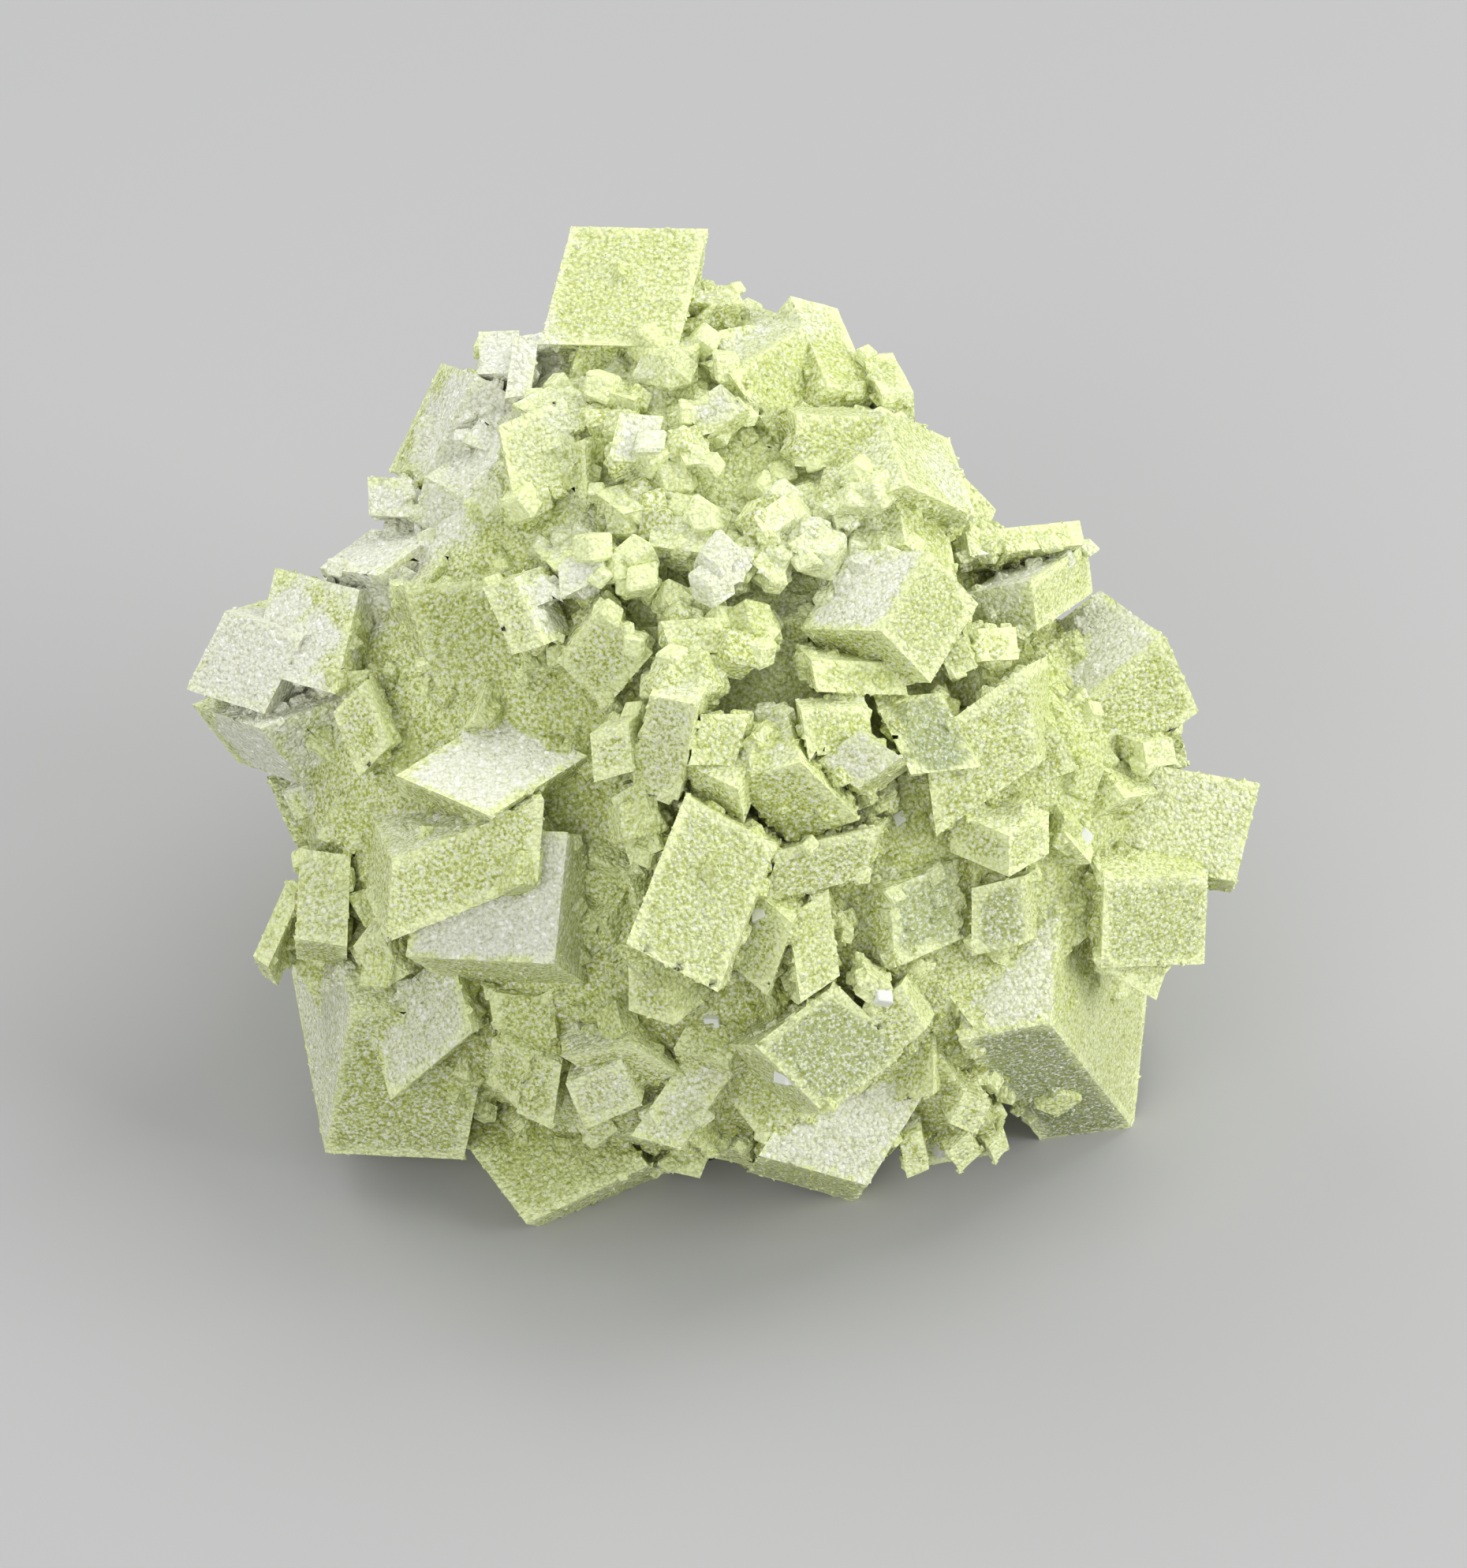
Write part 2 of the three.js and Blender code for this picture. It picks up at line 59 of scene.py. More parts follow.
FLAT_STEP = 0.05 * MM  # planes closer than this are one face

# The photograph's view: its picture, and where its eye stands in the frame of the solid
PICTURE = (1860, 1988)
PIXELS_PER_METRE = 27320.0
AIM = Vector((0.44, -2.54, 16.0)) * MM
ELEVATION = math.radians(43.0)
EYE_DISTANCE = 290.0 * MM
SIGHT_RIGHT = Vector((1.0, 0.0, 0.0))
SIGHT_UP = Vector((0.0, math.sin(ELEVATION), math.cos(ELEVATION)))
SIGHT_BACK = Vector((0.0, -math.cos(ELEVATION), math.sin(ELEVATION)))
EYE = AIM + SIGHT_BACK * EYE_DISTANCE

# A cube pressed this flat along its diagonal is a cleavage rhomb.
CLEAVAGE_PRESS = 0.70
CUBE_DIAGONAL_TILT = math.atan(math.sqrt(2.0))
CRUMB_WEAR = 0.1  # width of the worn edges of a crumb in the gaps, as a share of its edge
RHOMB_WEAR = 0.05  # the same of a single rhomb
RHOMB_SUNK = 0.2  # how deep the middle of a single rhomb lies, as a share of its edge
# A grain is a stubby bipyramid: its half width at the waist and its half length
GRAIN_WAIST, GRAIN_TIP = 0.85, 1.15

# How scattered crystals lie: turns about x, y and z, and how far each may differ, in radians
ANY_LIE = ((0.0, 0.0, 0.0), math.pi)
COMMON_LIE = ((0.45, -0.3, 0.5), 0.8)
CROWDING = 4.0  # crystals tried for each square of their spacing

# Places with a white frosting and a painted highlight: a pixel of the photograph, the reach in mm and
# the strength
PALE_PLACES = {
    "left_shoulder": ((590, 540), 5.5, 1.0),
    "shoulder_step": ((640, 455), 3.6, 0.95),
    "left_slope": ((465, 695), 4.6, 0.95),
    "slope_foot": ((540, 650), 3.6, 0.8),
    "wing_top": ((320, 850), 6.0, 1.0),
    "wing_front": ((325, 950), 4.4, 0.9),
    "strip_slab": ((712, 745), 2.0, 0.9),
    "white_lumps": ((1050, 690), 4.2, 0.5),
    "white_cap": ((925, 720), 2.2, 0.95),
    "right_flank": ((1205, 610), 3.0, 0.5),
    "right_crest": ((1010, 400), 2.6, 0.45),
    "roof": ((715, 520), 2.0, 0.5),
    "roof_middle": ((815, 560), 1.8, 0.4),
    "under_roof": ((750, 650), 2.2, 0.4),
    "right_shoulder": ((1250, 745), 2.6, 0.55),
    "upper_middle": ((860, 640), 7.0, 0.3),
    "middle": ((900, 830), 5.0, 0.3),
}
# Places crowded with crumbs of crystal: a pixel of the photograph and the reach in mm
CRUMB_PLACES = {
    "middle_hollow": ((1150, 1130), 3.2),
    "right_saddle": ((1385, 1000), 2.4),
    "under_great": ((1310, 1410), 2.6),
    "low_middle": ((900, 1420), 2.4),
    "front_gap": ((780, 1150), 3.0),
    "low_left": ((650, 1370), 2.6),
}
# Places where those crumbs are larger lumps
LUMP_PLACES = {
    "under_summit": ((830, 500), 4.5),
    "white_lumps": ((1050, 660), 4.5),
    "upper_middle": ((850, 660), 5.5),
    "left_upper": ((660, 620), 3.5),
    "middle": ((900, 820), 4.5),
    "front_gap": ((780, 1160), 2.6),
}
# Single clear rhombs that sit on the crust: a pixel of the photograph and the edge in mm
CLEAR_RHOMBS = {
    "front_spark": ((905, 1295), 0.75),
    "plate_spark": ((960, 1160), 0.7),
    "shelf_spark": ((1140, 1038), 0.6),
    "saddle_spark": ((1375, 1060), 0.7),
    "slope_spark": ((530, 632), 0.7),
    "low_square": ((995, 1368), 0.9),
    "middle_rhomb": ((1118, 1265), 0.8),
    "foot_rhomb": ((1195, 1455), 0.9),
}
# Crusted nubs on larger faces, and small crystals in the gaps: a pixel of the photograph
# and the edge in mm
FACE_NUBS = {
    "summit_nub": ((785, 345), 0.9),
    "left_nub": ((658, 1108), 1.8),
    "plate_nub": ((900, 1105), 1.0),
    "great_nub": ((1340, 1390), 1.7),
    "great_crumb": ((1265, 1420), 0.9),
    "slab_nub": ((1050, 1400), 0.8),
    "cube_nub": ((1495, 1195), 0.45),
    "grey_step": ((830, 1225), 2.6),
    "step_above": ((800, 1040), 2.0),
    "gap_upper": ((770, 1090), 1.8),
    "gap_middle": ((775, 1160), 2.2),
    "gap_lower": ((790, 1290), 1.8),
    "left_knob": ((470, 1150), 2.0),
    "left_knob_low": ((480, 1230), 1.8),
    "saddle_lump": ((1365, 985), 2.0),
    "saddle_lump_low": ((1345, 1045), 1.6),
}
# A painted sheen from the lamps above, together with frosting, whitens faces that look this way, from
# the first share of it to the second
FROST_AND_SHEEN_WAY = Vector((-0.3, 0.15, 0.94)).normalized()
FROST_AND_SHEEN_FROM, FROST_AND_SHEEN_TO = 0.68, 0.97
UPWARD_FROST_AND_SHEEN = 0.5
# Flecks of painted glint and shade show more on faces that look away from the lamps here, from the
# first share of it to the second
LIT_WAY = Vector((0.6, 0.2, 0.77)).normalized()
UNLIT_FROM, UNLIT_TO = 0.6, 0.1
# Faces with their own frosting and painted highlight, each by a pixel of the photograph on it.
# Below 0 is a painted shade, greyer, on faces that lie in shade.
FACE_FROST_AND_LIGHT = {
    "summit": ((790, 370), 0.0),
    "summit_left": ((700, 400), 0.25),
    "crest": ((960, 415), 0.8),
    "roof_block": ((684, 576), 0.3),
    "roof_plate": ((812, 560), 0.7),
    "roof_right": ((900, 532), 0.6),
    "flank": ((1176, 586), -0.15),
    "block_top": ((1096, 748), 0.75),
    "block_side": ((1178, 782), -0.1),
    "cap": ((925, 717), 0.95),
    "strip_slab": ((712, 740), 0.9),
    "strip_block": ((720, 800), 0.6),
    "right_shoulder": ((1290, 735), 0.75),
    "right_block": ((1404, 810), 0.8),
    "roof_slab": ((622, 972), 0.75),
    "slab_left": ((546, 1046), 0.8),
    "left_front": ((590, 1104), 0.2),
    "left_wedge": ((638, 1164), 0.9),
    "great_right": ((1285, 1265), 0.6),
    "upright_plate": ((1252, 952), 0.25),
    "small_plate": ((1174, 930), -0.65),
    "shelf": ((1090, 960), 0.6),
    "low_left": ((536, 1304), 0.6),
    "far_left": ((412, 1314), 0.6),
    "low_ledge": ((770, 1300), 0.6),
    "low_right_slab": ((1060, 1450), 0.65),
    "left_block": ((576, 798), 0.2),
    "front_low": ((866, 1398), 0.5),
    "front_low_left": ((764, 1388), 0.45),
    "front_upright": ((842, 946), 0.35),
    "outer_left": ((410, 1138), 0.35),
    "left_front_side": ((726, 1154), 0.4),
    "middle_step": ((968, 860), 0.2),
    "hollow_right": ((1176, 1158), -0.5),
    "bottom_plate": ((694, 1476), 0.1),
    "right_tip": ((1514, 1038), 0.4),
    "right_cube": ((1464, 1168), -0.2),
    "front_plate": ((888, 1134), -0.15),
    "crest_side": ((986, 480), -0.15),
    "great_bright": ((1394, 1302), 0.3),
    "great_under": ((1310, 1395), -0.75),
    "low_middle": ((1052, 1330), -0.5),
    "great_left": ((500, 1398), -0.15),
    "great_side": ((1266, 1162), -0.4),
    "front_small": ((1042, 1096), -0.1),
}

# Frosting and painted highlight near a pale place: how soon it climbs, and how ragged its border is
PALE_RISE = 1.8
PALE_RAGGEDNESS = 0.7
RAGGED_SIZE = 0.9 * MM
# Shade in hollows: at the foot, how far it falls towards the top, and how far lumps are clear of it
FOOT_SHADE = 1.15
SHADE_FALL = 0.5
LUMP_CLEARNESS = 0.9
# Shares of closed surroundings from which crumbs grow, and from which lumps do
CRUMB_HOLLOW = 0.25
LUMP_HOLLOW = 0.12
TONE_SEED = 5

# The druse of fine grains: how far their rows are bent, and how steeply their tops lean
GRAIN_BEND = (0.9, 0.9, 0.9)
GRAIN_LEAN = 1.3
MIDDLE_COLOUR = (0.5, 0.5, 0.5)

# How much of each effect shows in the crust's colour
TONE_SHARE = 0.35  # a crystal's own tone
DEEP_SHARE = 0.74  # the deep green
FACE_SHADE_SHARE = 1.4  # the painted shade on faces in shade, for each step of frosting below 0
GAP_SHARE = 0.3  # the shade between grains
GAP_THAW = 0.35  # the loss of frosting and painted sheen there
HOLLOW_SHARE = 0.85  # the shade in hollows
LEAST_FROST_AND_SHEEN = 0.55  # the frosting and painted sheen that its noise leaves everywhere
LIT_FLECKS, UNLIT_FLECKS = 0.55, 0.4  # flecks on faces turned to the lamps, and what faces turned away add
FLECK_THAW = 0.55  # the loss of flecks on frosting and painted sheen
RIM_SHARE = 0.7  # the painted highlight on crystal edges
RIM_THAW = 0.6  # the loss of it on frosting and painted sheen
BARE_SPARKLE, FROST_AND_SHEEN_SPARKLE = 0.14, 0.6  # painted glints on bare crust, and what frosting and painted sheen add
DULLNESS, GLINT = 0.56, 0.34  # roughness of the crust, and what the smoothest grains take off

# Lamps: where each stands and its side, in mm, and the setting that holds its power
LAMPS = {
    "Key light": ((90, 80, 215), 130, "key_power"),
    "Side light": ((250, -60, 115), 170, "side_power"),
    "Shoulder light": ((-150, 110, 190), 170, "shoulder_power"),
    "Front light": ((-110, -210, 150), 200, "front_power"),
}


class CrustSettings(bpy.types.PropertyGroup):
    """The duftite crust that covers every crystal"""

    octree_scale: bpy.props.FloatProperty(
        name="Fineness", description="Share of the remesh grid that the cluster fills", default=0.54
    )
    wave: bpy.props.FloatProperty(
        name="Wave",
        description="Height of the crust's unevenness",
        default=0.09 * MM,
        unit="LENGTH",
    )
    wave_size: bpy.props.FloatProperty(
        name="Wave size",
        description="Width of one swell of the crust",
        default=0.8 * MM,
        unit="LENGTH",
    )
    grain: bpy.props.FloatProperty(
        name="Grain", description="Width of one duftite grain", default=0.2 * MM, unit="LENGTH"
    )
    pale_green: bpy.props.FloatVectorProperty(
        name="Pale green",
        description="Crust in full light",
        subtype="COLOR",
        default=(0.74, 0.81, 0.39),
    )
    deep_green: bpy.props.FloatVectorProperty(
        name="Deep green", description="Thicker crust", subtype="COLOR", default=(0.58, 0.66, 0.20)
    )
    # Painted shade in gaps and hollows, and the dark flecks
    olive_and_shade: bpy.props.FloatVectorProperty(
        name="Hollow green",
        description="Crust in the gaps",
        subtype="COLOR",
        default=(0.34, 0.37, 0.06),
    )
    # Painted shade: greyer green on faces that lie in shade
    face_shade_grey: bpy.props.FloatVectorProperty(
        name="Thick crust",
        description="Greyer crust on darker faces",
        subtype="COLOR",
        default=(0.30, 0.36, 0.19),
    )
    # Frosting, painted sheen and painted glints are this white
    frost_and_sheen_white: bpy.props.FloatVectorProperty(
        name="Frost", description="White frosting", subtype="COLOR", default=(0.78, 0.79, 0.66)
    )
    spark_white: bpy.props.FloatVectorProperty(
        name="Sparkle",
        description="Single grains that catch the light",
        subtype="COLOR",
        default=(0.96, 0.97, 0.88),
    )
    # Painted highlight along the crystal edges
    edge_highlight: bpy.props.FloatVectorProperty(
        name="Rim", description="Worn crystal edges", subtype="COLOR", default=(0.84, 0.90, 0.48)
    )


class GrainSettings(bpy.types.PropertyGroup):
    """The duftite grains that stand out of the crust, and the small crystals in its gaps"""

    spacing: bpy.props.FloatProperty(
        name="Grain spacing",
        description="Least distance of two grains",
        default=0.52 * MM,
        unit="LENGTH",
    )
    smallest: bpy.props.FloatProperty(
        name="Smallest grain", description="Half width of a grain", default=0.09 * MM, unit="LENGTH"
    )
    largest: bpy.props.FloatProperty(
        name="Largest grain", description="Half width of a grain", default=0.21 * MM, unit="LENGTH"
    )
    gap_spacing: bpy.props.FloatProperty(
        name="Gap spacing",
        description="Least distance of two gap crystals",
        default=0.8 * MM,
        unit="LENGTH",
    )
    gap_smallest: bpy.props.FloatProperty(
        name="Smallest gap crystal",
        description="Edge of a gap crystal",
        default=0.35 * MM,
        unit="LENGTH",
    )
    gap_largest: bpy.props.FloatProperty(
        name="Largest gap crystal",
        description="Edge of a gap crystal",
        default=1.0 * MM,
        unit="LENGTH",
    )
    seed: bpy.props.IntProperty(
        name="Seed", description="Another seed scatters them anew", default=7
    )


class StageSettings(bpy.types.PropertyGroup):
    """The floor, lights and camera"""

    floor_size: bpy.props.FloatProperty(
        name="Floor size", description="Side of the floor", default=1.6, unit="LENGTH"
    )
    floor_colour: bpy.props.FloatVectorProperty(
        name="Floor colour", description="Pale floor", subtype="COLOR", default=(0.40, 0.40, 0.395)
    )
    key_power: bpy.props.FloatProperty(
        name="Key light",
        description="Power of the light behind and above",
        default=0.27,
        unit="POWER",
    )
    side_power: bpy.props.FloatProperty(
        name="Side light",
        description="Power of the light from the right",
        default=0.52,
        unit="POWER",
    )
    shoulder_power: bpy.props.FloatProperty(
        name="Shoulder light",
        description="Power of the light on the left shoulder",
        default=0.26,
        unit="POWER",
    )
    front_power: bpy.props.FloatProperty(
        name="Front light",
        description="Power of the soft light in front",
        default=0.31,
        unit="POWER",
    )


def deselect_all():
    """Leaves nothing selected, the imported solid included."""
    bpy.ops.object.select_all(action="DESELECT")


def make_active(piece):
    """Selects one object alone and makes it active."""
    deselect_all()
    piece.select_set(True)
    bpy.context.view_layer.objects.active = piece


def apply_modifier(piece, modifier):
    """Applies one modifier of a piece."""
    make_active(piece)
    bpy.ops.object.modifier_apply(modifier=modifier.name)


def pixel_ray(pixel):
    """The direction in which the photograph's eye sees a pixel."""
    right = (pixel[0] - PICTURE[0] / 2) / PIXELS_PER_METRE
    up = (PICTURE[1] / 2 - pixel[1]) / PIXELS_PER_METRE
    return (AIM + SIGHT_RIGHT * right + SIGHT_UP * up - EYE).normalized()


def seat_of(tree, pixel, name):
    """The point, normal and face of the crust that the photograph shows at a pixel."""
    place, normal, face, _ = tree.ray_cast(EYE, pixel_ray(pixel))
    if place is None:
        raise RuntimeError(f"{name}: the crust isn't seen at pixel {pixel}")
    return place, normal, face


def tree_of(piece):
    """A search tree of a mesh piece."""
    mesh = piece.data
    return BVHTree.FromPolygons([v.co for v in mesh.vertices], [p.vertices for p in mesh.polygons])


def point_attribute(mesh, name, values):
    """Keeps one number for each vertex, for the material to read."""
    attribute = mesh.attributes.new(name, "FLOAT", "POINT")
    attribute.data.foreach_set("value", np.asarray(values, np.float32))


def finish_piece(piece, material):
    """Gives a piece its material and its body."""
    piece.data.materials.clear()
    piece.data.materials.append(material)
    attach(piece, "root")


class Nodes:
    """Adds nodes to one tree and links them, to keep the materials short."""

    def __init__(self, tree):
        self.tree = tree

    def add(self, kind, settings=None, **inputs):
        """A node of that kind, with inputs by name: a socket is linked, a value is set."""
        node = self.tree.nodes.new(kind)
        for key, value in (settings or {}).items():
            setattr(node, key, value)
        for key, value in inputs.items():
            self.set(node, key.replace("_", " "), value)
        return node

    def set(self, node, name, value):
        """Links or sets one input, by name or by number."""
        socket = node.inputs[name]
        if isinstance(value, bpy.types.NodeSocket):
            self.tree.links.new(value, socket)
        else:
            socket.default_value = value

    def math(self, operation, first, second=0.0, clamp=False):
        """The result of one operation on numbers."""
        node = self.add("ShaderNodeMath", {"operation": operation, "use_clamp": clamp})
        self.set(node, 0, first)
        self.set(node, 1, second)
        return node.outputs[0]

    def vector(self, operation, *values):
        """A node with one operation on vectors."""
        node = self.add("ShaderNodeVectorMath", {"operation": operation})
        for number, value in enumerate(values):
            self.set(node, number, value)
        return node

    def share(self, value, share):
        """A share of a number."""
        return self.math("MULTIPLY", value, share)

    def rest(self, value, share):
        """What is left of 1 when a share of a number is taken off."""
        return self.math("SUBTRACT", 1.0, self.share(value, share))

    def noise(self, place, scale, detail, roughness):
        """A cloudy number from 0 to 1."""
        node = self.add("ShaderNodeTexNoise", Vector=place, Scale=scale, Detail=detail)
        self.set(node, "Roughness", roughness)
        return node.outputs["Fac"]

    def ramp(self, value, low, high):
        """A number that climbs smoothly from 0 at low to 1 at high."""
        settings = {"interpolation_type": "SMOOTHSTEP"}
        node = self.add("ShaderNodeMapRange", settings, Value=value, From_Min=low, From_Max=high)
        return node.outputs["Result"]

    def mix(self, factor, first, second):
        """A mixed colour."""
        node = self.add("ShaderNodeMix", {"data_type": "RGBA"})
        self.set(node, 0, factor)
        self.set(node, 6, first)
        self.set(node, 7, second)
        return node.outputs[2]

    def attribute(self, name):
        """One number that the mesh keeps for each vertex, for a material."""
        return self.add("ShaderNodeAttribute", {"attribute_name": name}).outputs["Fac"]

    def vertex_number(self, name):
        """One number that the mesh keeps for each vertex, for geometry nodes."""
        node = self.add("GeometryNodeInputNamedAttribute", {"data_type": "FLOAT"}, Name=name)
        return node.outputs["Attribute"]


def colour(value):
    """A settings colour with its alpha."""
    return (*value, 1.0)


def grain_group():
    """Shader group: a druse of tilted grains with gaps between them, on Object coordinates."""
    tree = bpy.data.node_groups.new("Druse grains", "ShaderNodeTree")
    tree.interface.new_socket("Size", in_out="INPUT", socket_type="NodeSocketFloat")
    for name in ("Height", "Gap", "Chance"):
        tree.interface.new_socket(name, in_out="OUTPUT", socket_type="NodeSocketFloat")
    nodes = Nodes(tree)
    inputs = nodes.add("NodeGroupInput")
    outputs = nodes.add("NodeGroupOutput")
    place = nodes.add("ShaderNodeTexCoord").outputs["Object"]
    density = nodes.math("DIVIDE", 1.0, inputs.outputs["Size"])
    scaled = nodes.add("ShaderNodeVectorMath", {"operation": "SCALE"}, Vector=place, Scale=density)
    bend = nodes.add("ShaderNodeTexNoise", Vector=scaled.outputs[0], Scale=0.9, Detail=2.0)
    bent = nodes.vector("MULTIPLY_ADD", bend.outputs["Color"], GRAIN_BEND, scaled.outputs[0])
    cells = nodes.add("ShaderNodeTexVoronoi", Vector=bent.outputs[0], Scale=1.0)
    local = nodes.vector("SUBTRACT", bent.outputs[0], cells.outputs["Position"])
    lean = nodes.vector("SUBTRACT", cells.outputs["Color"], MIDDLE_COLOUR)
    tilt = nodes.vector("DOT_PRODUCT", local.outputs[0], lean.outputs[0])
    dome = nodes.math("SUBTRACT", 1.0, cells.outputs["Distance"])
    height = nodes.math("ADD", dome, nodes.share(tilt.outputs["Value"], GRAIN_LEAN))
    chance = nodes.add("ShaderNodeSeparateColor", Color=cells.outputs["Color"])
    nodes.set(outputs, "Height", height)
    nodes.set(outputs, "Gap", nodes.ramp(cells.outputs["Distance"], low=0.35, high=0.8))
    nodes.set(outputs, "Chance", chance.outputs["Green"])
    return tree


def crust_green(nodes, settings, place, gap):
    """The crust's green: patches, each crystal's tone, painted shade on faces in shade, and painted
    shade in gaps and hollows.
    """
    patch = nodes.noise(place, scale=230.0, detail=4.0, roughness=0.6)
    tone = nodes.share(nodes.attribute("tone"), TONE_SHARE)
    depth = nodes.math("ADD", tone, nodes.ramp(patch, low=0.3, high=0.7))
    depth = nodes.math("MULTIPLY", depth, DEEP_SHARE, clamp=True)
    green = nodes.mix(depth, colour(settings.pale_green), colour(settings.deep_green))
    # painted shade on faces that lie in shade
    face_shade = nodes.math("MULTIPLY", nodes.attribute("frost"), -FACE_SHADE_SHARE, clamp=True)
    green = nodes.mix(face_shade, green, colour(settings.face_shade_grey))
    # painted shade between grains
    green = nodes.mix(gap, green, colour(settings.olive_and_shade))
    # painted shade in hollows
    hollow = nodes.ramp(nodes.attribute("hollow"), low=0.32, high=0.85)
    return nodes.mix(nodes.share(hollow, HOLLOW_SHARE), green, colour(settings.olive_and_shade))


def frosting_and_sheen(nodes, place, gap):
    """How white the frosting and painted sheen are: broken up by a fine noise, and thinner between
    grains.
    """
    speckle = nodes.noise(place, scale=2600.0, detail=3.0, roughness=0.7)
    frost = nodes.math("ADD", speckle, LEAST_FROST_AND_SHEEN)
    frost = nodes.math("MULTIPLY", nodes.attribute("frost"), frost)
    frost = nodes.math("SUBTRACT", frost, nodes.share(gap, GAP_THAW))
    return nodes.ramp(frost, low=0.12, high=0.85)


def flecked(nodes, settings, place, surface, frost):
    """The surface with olive and white flecks, partly the crust's own speckle and partly painted shade
    and glints, stronger on faces turned from the lamps and weaker on frosting.
    """
    fleck = nodes.noise(place, scale=6400.0, detail=2.0, roughness=0.6)
    contrast = nodes.math("ADD", nodes.share(nodes.attribute("coarse"), UNLIT_FLECKS), LIT_FLECKS)
    contrast = nodes.math("MULTIPLY", contrast, nodes.rest(frost, FLECK_THAW))
    olive = nodes.math("MULTIPLY", nodes.ramp(fleck, low=0.5, high=0.63), contrast)
    surface = nodes.mix(olive, surface, colour(settings.olive_and_shade))
    white = nodes.math("MULTIPLY", nodes.ramp(fleck, low=0.5, high=0.37), contrast)
    return nodes.mix(white, surface, colour(settings.frost_and_sheen_white))


def crust_material(settings):
    """Yellow-green duftite crust: frosted and painted with a sheen in places, with painted highlights
    at edges and painted olive shade in hollows.
    """
    material = bpy.data.materials.new("Duftite crust")
    material.use_nodes = True
    nodes = Nodes(material.node_tree)
    shader = material.node_tree.nodes["Principled BSDF"]
    druse = nodes.add("ShaderNodeGroup", {"node_tree": grain_group()}, Size=settings.grain)
    place = nodes.add("ShaderNodeTexCoord").outputs["Object"]
    gap = nodes.share(druse.outputs["Gap"], GAP_SHARE)
    frost = frosting_and_sheen(nodes, place, gap)
    green = crust_green(nodes, settings, place, gap)
    # frosting and a painted sheen whiten the crust
    surface = nodes.mix(frost, green, colour(settings.frost_and_sheen_white))
    surface = flecked(nodes, settings, place, surface, frost)
    # painted highlight on crystal edges
    rim = nodes.share(nodes.ramp(nodes.attribute("rim"), low=0.08, high=0.36), RIM_SHARE)
    rim = nodes.math("MULTIPLY", rim, nodes.rest(frost, RIM_THAW))
    surface = nodes.mix(rim, surface, colour(settings.edge_highlight))
    strength = nodes.math("ADD", nodes.share(frost, FROST_AND_SHEEN_SPARKLE), BARE_SPARKLE)
    # painted glints on single grains
    spark = nodes.ramp(druse.outputs["Chance"], low=0.86, high=0.93)
    spark = nodes.math("MULTIPLY", spark, strength)
    surface = nodes.mix(spark, surface, colour(settings.spark_white))
    glint = nodes.ramp(druse.outputs["Chance"], low=0.72, high=0.95)
    roughness = nodes.math("SUBTRACT", DULLNESS, nodes.share(glint, GLINT))
    height = druse.outputs["Height"]
    bump = nodes.add("ShaderNodeBump", Strength=0.85, Distance=0.11 * MM, Height=height)
    nodes.set(shader, "Base Color", surface)
    nodes.set(shader, "Roughness", roughness)
    nodes.set(shader, "Normal", bump.outputs["Normal"])
    nodes.set(shader, "Specular IOR Level", 0.55)
    return material


def climb(value, low, high):
    """A number that climbs evenly from 0 at low to 1 at high."""
    return min(max((value - low) / (high - low), 0.0), 1.0)


def nearness(point, places):
    """1 in the inner half of a place's reach, 0 beyond it."""
    return max(
        min(max(2.0 - 2.0 * (point - place).length / reach, 0.0), 1.0) for place, reach in places
    )


def seats(tree, places):
    """Where places of the photograph lie on the solid, each with its reach and what else it has."""
    return [
        (seat_of(tree, pixel, name)[0], reach * MM, *more)
        for name, (pixel, reach, *more) in places.items()
    ]


def flat_groups(piece):
    """For each triangle of the solid, the number of the flat face that it belongs to."""
    mesh = piece.data
    planes = {}
    numbers = np.zeros(len(mesh.polygons), int)
    for polygon in mesh.polygons:
        normal = polygon.normal
        key = (*(round(c, 2) for c in normal), round(normal.dot(polygon.center) / FLAT_STEP))
        numbers[polygon.index] = planes.setdefault(key, len(planes))
    return numbers


def bend_numbers(mesh):
    """For each vertex, how far the crust bends there: above 0 on edges, below 0 in corners."""
    corners = np.zeros(len(mesh.vertices) * 3)
    mesh.vertices.foreach_get("co", corners)
    corners = corners.reshape(-1, 3)
    normals = np.zeros(len(mesh.vertices) * 3)
    mesh.vertices.foreach_get("normal", normals)
    normals = normals.reshape(-1, 3)
    ends = np.zeros(len(mesh.edges) * 2, int)
    mesh.edges.foreach_get("vertices", ends)
    ends = ends.reshape(-1, 2)
    along = corners[ends[:, 1]] - corners[ends[:, 0]]
    along /= np.linalg.norm(along, axis=1, keepdims=True) + 1e-12
    rise = np.einsum("ij,ij->i", along, normals[ends[:, 1]] - normals[ends[:, 0]])
    total = np.zeros(len(mesh.vertices))
    count = np.zeros(len(mesh.vertices))
    for side in (0, 1):
        np.add.at(total, ends[:, side], rise)
        np.add.at(count, ends[:, side], 1)
    return total / np.maximum(count, 1)


def hollow_numbers(mesh, tree, reach=3.5 * MM, lift=0.05 * MM, rays=20):
    """For each vertex, the share of its surroundings that other crystals close off."""
    turns = np.arange(rays) * math.pi * (3 - math.sqrt(5))
    heights = 1 - (np.arange(rays) + 0.5) / rays
    rings = np.sqrt(1 - heights**2)
    sky = [Vector((r * math.cos(t), r * math.sin(t), h)) for r, t, h in zip(rings, turns, heights)]
    closed = np.zeros(len(mesh.vertices))
    for vertex in mesh.vertices:
        turn = vertex.normal.to_track_quat("Z", "Y")
        start = vertex.co + vertex.normal * lift
        hits = sum(tree.ray_cast(start, turn @ ray, reach)[0] is not None for ray in sky)
        closed[vertex.index] = hits / rays
    return closed


